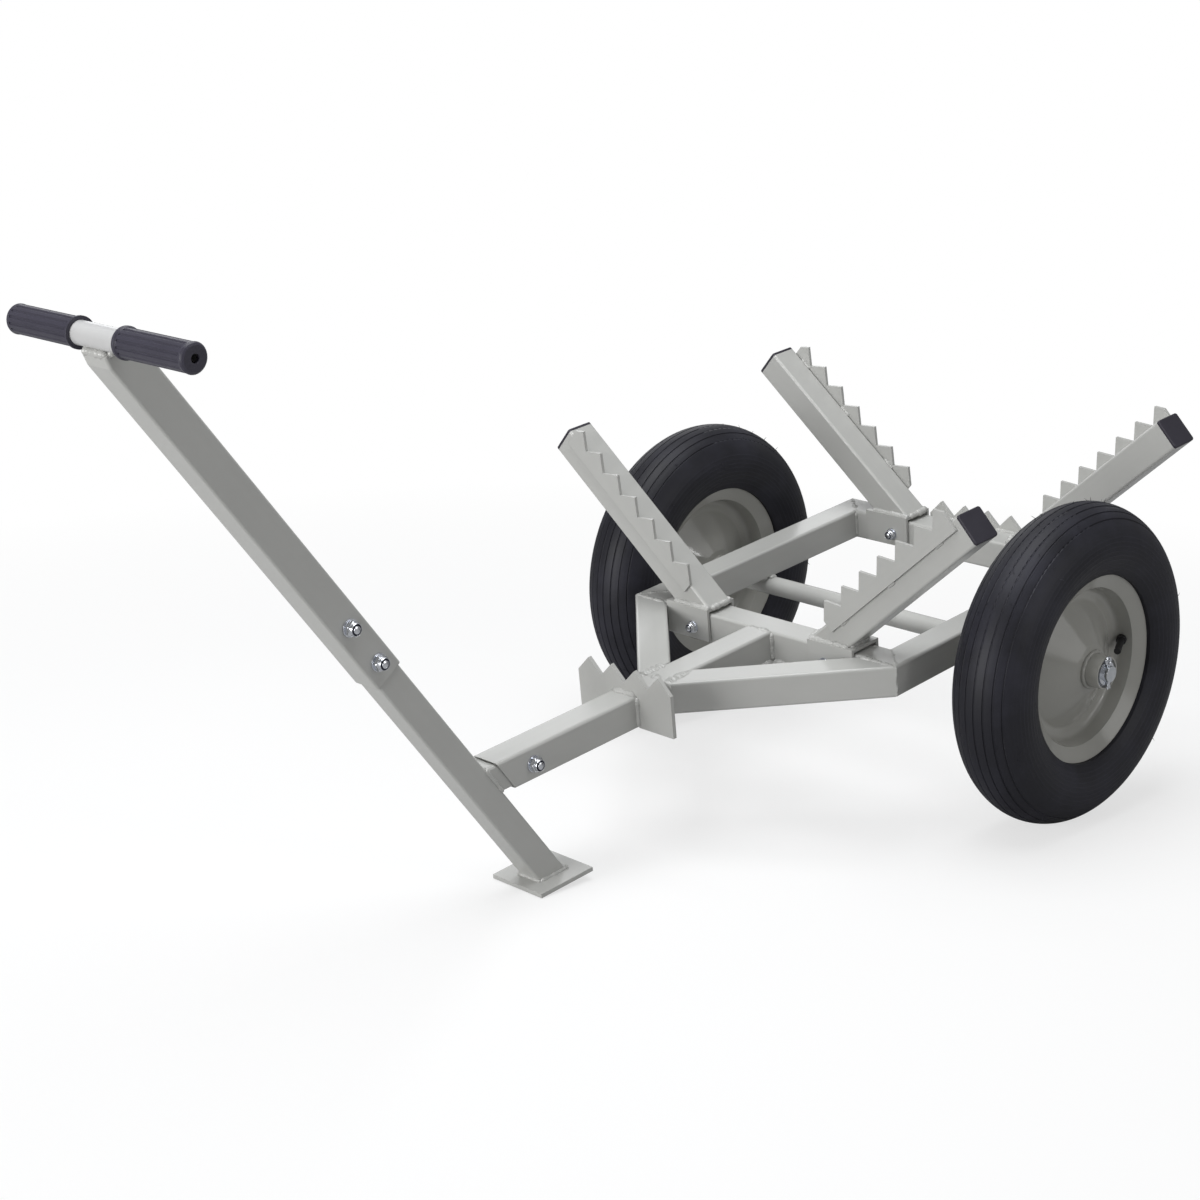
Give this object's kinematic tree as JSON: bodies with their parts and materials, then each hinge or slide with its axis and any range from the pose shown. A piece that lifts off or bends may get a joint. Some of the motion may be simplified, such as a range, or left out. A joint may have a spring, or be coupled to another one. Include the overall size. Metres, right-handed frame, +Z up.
{
  "type": "log dolly",
  "caption": "Wheeled log dolly: square-tube chassis with a toothed V cradle, spike plates and raked tow handle, for hauling firewood logs.",
  "frame": {"origin": "on the floor, under the middle of the dolly's overall box", "axes": "+X towards the rear, from the handle to the wheels; +Y to the dolly's left; +Z up"},
  "size_m": [1.3934, 0.731, 0.7181],
  "materials": {
    "grey_paint": "satin pebble-grey powder coat",
    "axle_paint": "satin pebble-grey powder coat, bare bright ends",
    "pale_paint": "satin off-white powder coat",
    "grip_rubber": "soft matt, fluted",
    "cap_plastic": "fine moulded grain",
    "zinc": "bright zinc plating",
    "tyre": "moulded, satin, ribbed crown",
    "tube_rubber": "smooth",
    "rim_paint": "semi-gloss pebble grey on pressed steel",
    "valve_rubber": "matt",
    "bearing_steel": "dark, greased"
  },
  "bodies": {
    "frame": {"left_side_rail": "grey_paint", "left_diagonal_brace": "grey_paint", "right_side_rail": "grey_paint", "right_diagonal_brace": "grey_paint", "front_cross_tube": "grey_paint", "rear_cross_tube": "grey_paint", "drawbar_tube": "grey_paint", "front_spike_plate": "grey_paint", "rear_spike_plate": "grey_paint", "lower_handle_tube": "grey_paint", "upper_handle_tube": "grey_paint", "foot_plate": "grey_paint", "drawbar_stub": "grey_paint", "front_left_saddle": "grey_paint", "front_left_upright_tube": "grey_paint", "front_left_saw_plate": "grey_paint", "front_right_saddle": "grey_paint", "front_right_upright_tube": "grey_paint", "front_right_saw_plate": "grey_paint", "rear_left_saddle": "grey_paint", "rear_left_upright_tube": "grey_paint", "rear_left_saw_plate": "grey_paint", "rear_right_saddle": "grey_paint", "rear_right_upright_tube": "grey_paint", "rear_right_saw_plate": "grey_paint", "axle_shaft": "axle_paint", "handle_crossbar": "pale_paint", "left_grip": "grip_rubber", "right_grip": "grip_rubber", "front_left_end_cap": "cap_plastic", "front_right_end_cap": "cap_plastic", "rear_left_end_cap": "cap_plastic", "rear_right_end_cap": "cap_plastic", "handle_bolts": "zinc", "handle_nuts": "zinc", "handle_washers": "zinc", "drawbar_bolt": "zinc", "drawbar_nut": "zinc", "drawbar_washers": "zinc", "saddle_bolts": "zinc", "saddle_nuts": "zinc", "saddle_washers": "zinc", "axle_washers": "zinc", "split_pins": "zinc"},
    "left_wheel": {"left_tyre": "tyre", "left_inner_tube": "tube_rubber", "left_rim_outer": "rim_paint", "left_rim_inner": "rim_paint", "left_valve": "valve_rubber", "left_hub": "rim_paint", "left_bearings": "bearing_steel"},
    "right_wheel": {"right_tyre": "tyre", "right_inner_tube": "tube_rubber", "right_rim_outer": "rim_paint", "right_rim_inner": "rim_paint", "right_valve": "valve_rubber", "right_hub": "rim_paint", "right_bearings": "bearing_steel"}
  },
  "joints": [
    {"name": "left_wheel_spin", "type": "hinge", "parent": "frame", "child": "left_wheel", "pos_m": [0.4696, 0.305, 0.2], "axis": [0, 1, 0], "continuous": true},
    {"name": "right_wheel_spin", "type": "hinge", "parent": "frame", "child": "right_wheel", "pos_m": [0.4696, -0.305, 0.2], "axis": [0, 1, 0], "continuous": true}
  ]
}
